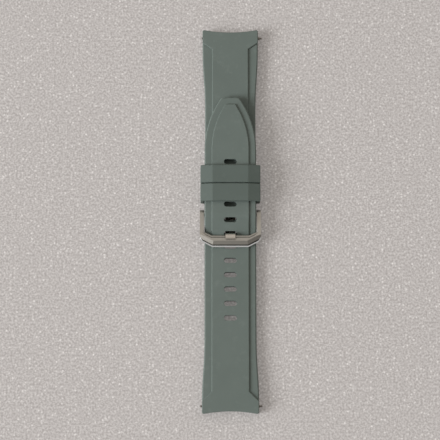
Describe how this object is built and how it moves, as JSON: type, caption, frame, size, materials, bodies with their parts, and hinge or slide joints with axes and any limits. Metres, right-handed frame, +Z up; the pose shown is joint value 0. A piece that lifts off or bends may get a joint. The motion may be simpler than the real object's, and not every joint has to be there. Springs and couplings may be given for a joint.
{
  "type": "watch strap",
  "caption": "Buckled rubber dive strap with raised middle, slotted tapering tail, rubber keeper loops, steel pin buckle and sprung bars in hollow lug ends.",
  "frame": {"origin": "on the table plane under the middle of the buckled strap", "axes": "+X across the strap, +Y from the long half's lug end to the short half's lug end, +Z up out of the strap's face"},
  "size_m": [0.0246, 0.1516, 0.009],
  "materials": {
    "strap_rubber": "matte moulded rubber",
    "buckle_steel": "bead blasted with a polished rim",
    "tongue_steel": "satin",
    "bar_steel": "turned and bright",
    "spring_wire": "drawn wire"
  },
  "bodies": {
    "short_half": {"short_strap": "strap_rubber"},
    "long_half": {"long_strap": "strap_rubber"},
    "lower_loop": {"lower_keeper": "strap_rubber"},
    "upper_loop": {"upper_keeper": "strap_rubber"},
    "frame": {"buckle_frame": "buckle_steel"},
    "tongue": {"buckle_tongue": "tongue_steel"},
    "short_bar": {"short_lug_tube": "bar_steel", "short_lug_spring": "spring_wire"},
    "short_bar_left_tip": {"short_lug_left_tip": "bar_steel"},
    "short_bar_right_tip": {"short_lug_right_tip": "bar_steel"},
    "long_bar": {"long_lug_tube": "bar_steel", "long_lug_spring": "spring_wire"},
    "long_bar_left_tip": {"long_lug_left_tip": "bar_steel"},
    "long_bar_right_tip": {"long_lug_right_tip": "bar_steel"},
    "buckle_bar": {"buckle_bar_tube": "bar_steel", "buckle_bar_spring": "spring_wire"},
    "buckle_bar_left_tip": {"buckle_bar_left_tip": "bar_steel"},
    "buckle_bar_right_tip": {"buckle_bar_right_tip": "bar_steel"}
  },
  "joints": [
    {"name": "long_half_play", "type": "slide", "parent": "short_half", "child": "long_half", "axis": [0, 1, 0], "range_m": [-0.0003, 0.0003]},
    {"name": "lower_keeper_slide", "type": "slide", "parent": "short_half", "child": "lower_loop", "axis": [0, 1, 0], "range_m": [-0.0024, 0]},
    {"name": "upper_keeper_slide", "type": "slide", "parent": "short_half", "child": "upper_loop", "axis": [0, 1, 0], "range_m": [0, 0.024]},
    {"name": "buckle_swing", "type": "hinge", "parent": "short_half", "child": "frame", "pos_m": [0, 0.0017, 0.00235], "axis": [-1, 0, 0], "range_deg": [0, 2]},
    {"name": "tongue_swing", "type": "hinge", "parent": "frame", "child": "tongue", "pos_m": [0, 0.0017, 0.00235], "axis": [-1, 0, 0], "range_deg": [0, 2]},
    {"name": "short_bar_spin", "type": "hinge", "parent": "short_half", "child": "short_bar", "pos_m": [0, 0.07285, 0.0021], "axis": [1, 0, 0], "continuous": true},
    {"name": "short_bar_left_press", "type": "slide", "parent": "short_bar", "child": "short_bar_left_tip", "axis": [1, 0, 0], "range_m": [0, 0.0011], "stiffness_N_per_m": 1500, "springref_m": -0.002, "deforming": ["short_lug_spring"]},
    {"name": "short_bar_right_press", "type": "slide", "parent": "short_bar", "child": "short_bar_right_tip", "axis": [-1, 0, 0], "range_m": [0, 0.0011], "stiffness_N_per_m": 1500, "springref_m": -0.002, "deforming": ["short_lug_spring"]},
    {"name": "long_bar_spin", "type": "hinge", "parent": "long_half", "child": "long_bar", "pos_m": [0, -0.07285, 0.0021], "axis": [1, 0, 0], "continuous": true},
    {"name": "long_bar_left_press", "type": "slide", "parent": "long_bar", "child": "long_bar_left_tip", "axis": [1, 0, 0], "range_m": [0, 0.0011], "stiffness_N_per_m": 1500, "springref_m": -0.002, "deforming": ["long_lug_spring"]},
    {"name": "long_bar_right_press", "type": "slide", "parent": "long_bar", "child": "long_bar_right_tip", "axis": [-1, 0, 0], "range_m": [0, 0.0011], "stiffness_N_per_m": 1500, "springref_m": -0.002, "deforming": ["long_lug_spring"]},
    {"name": "buckle_bar_spin", "type": "hinge", "parent": "short_half", "child": "buckle_bar", "pos_m": [0, 0.0017, 0.00235], "axis": [1, 0, 0], "continuous": true},
    {"name": "buckle_bar_left_press", "type": "slide", "parent": "buckle_bar", "child": "buckle_bar_left_tip", "axis": [1, 0, 0], "range_m": [0, 0.0011], "stiffness_N_per_m": 1500, "springref_m": -0.002, "deforming": ["buckle_bar_spring"]},
    {"name": "buckle_bar_right_press", "type": "slide", "parent": "buckle_bar", "child": "buckle_bar_right_tip", "axis": [-1, 0, 0], "range_m": [0, 0.0011], "stiffness_N_per_m": 1500, "springref_m": -0.002, "deforming": ["buckle_bar_spring"]}
  ]
}
